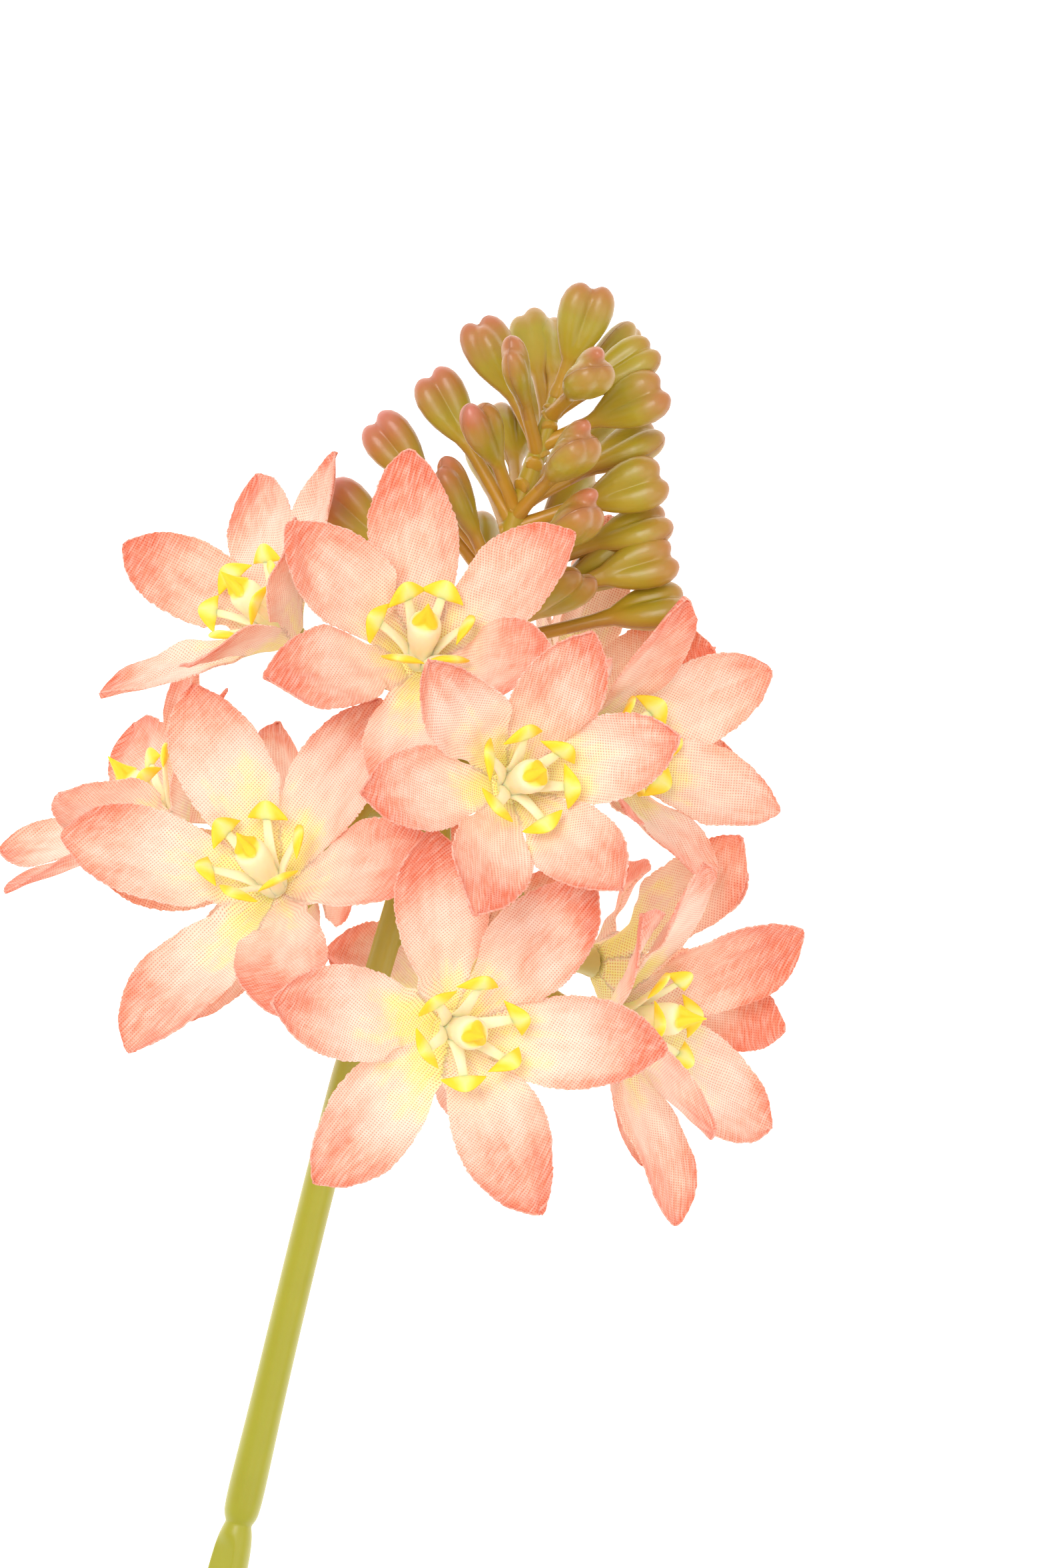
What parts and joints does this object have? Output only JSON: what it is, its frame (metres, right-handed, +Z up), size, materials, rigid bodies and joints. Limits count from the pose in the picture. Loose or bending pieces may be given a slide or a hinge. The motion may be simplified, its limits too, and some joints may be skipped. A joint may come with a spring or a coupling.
{
  "type": "artificial star of bethlehem flower stem",
  "caption": "Cut artificial star of Bethlehem stem lying down: a slim olive stem, a head of open six-petalled peach cloth stars with yellow centres, and a spike of olive buds.",
  "frame": {"origin": "middle of the small flat under the cut foot of the stem, on the surface it lies on", "axes": "+Y along the stem toward the head and the bud spike, +Z up from the surface, +X to the right of the head seen from above"},
  "size_m": [0.1054, 0.3224, 0.0943],
  "materials": {
    "stem_olive": "satin",
    "raceme_olive": "satin",
    "bud_olive": "gloss",
    "petal_cloth": "woven, dyed from coral at the tips to cream at the eye",
    "centre_yellow": "satin"
  },
  "bodies": {
    "root": {"stem": "stem_olive", "raceme_axis": "raceme_olive", "bud_spike": "bud_olive", "bloom_01_petals": "petal_cloth", "bloom_01_centre": "centre_yellow", "bloom_02_petals": "petal_cloth", "bloom_02_centre": "centre_yellow", "bloom_03_petals": "petal_cloth", "bloom_03_centre": "centre_yellow", "bloom_04_petals": "petal_cloth", "bloom_04_centre": "centre_yellow", "bloom_05_petals": "petal_cloth", "bloom_05_centre": "centre_yellow", "bloom_06_petals": "petal_cloth", "bloom_06_centre": "centre_yellow", "bloom_07_petals": "petal_cloth", "bloom_07_centre": "centre_yellow", "bloom_08_petals": "petal_cloth", "bloom_08_centre": "centre_yellow", "bloom_09_petals": "petal_cloth", "bloom_09_centre": "centre_yellow", "bloom_10_petals": "petal_cloth", "bloom_10_centre": "centre_yellow", "bloom_11_petals": "petal_cloth", "bloom_11_centre": "centre_yellow", "bloom_12_petals": "petal_cloth", "bloom_12_centre": "centre_yellow"}
  },
  "joints": []
}
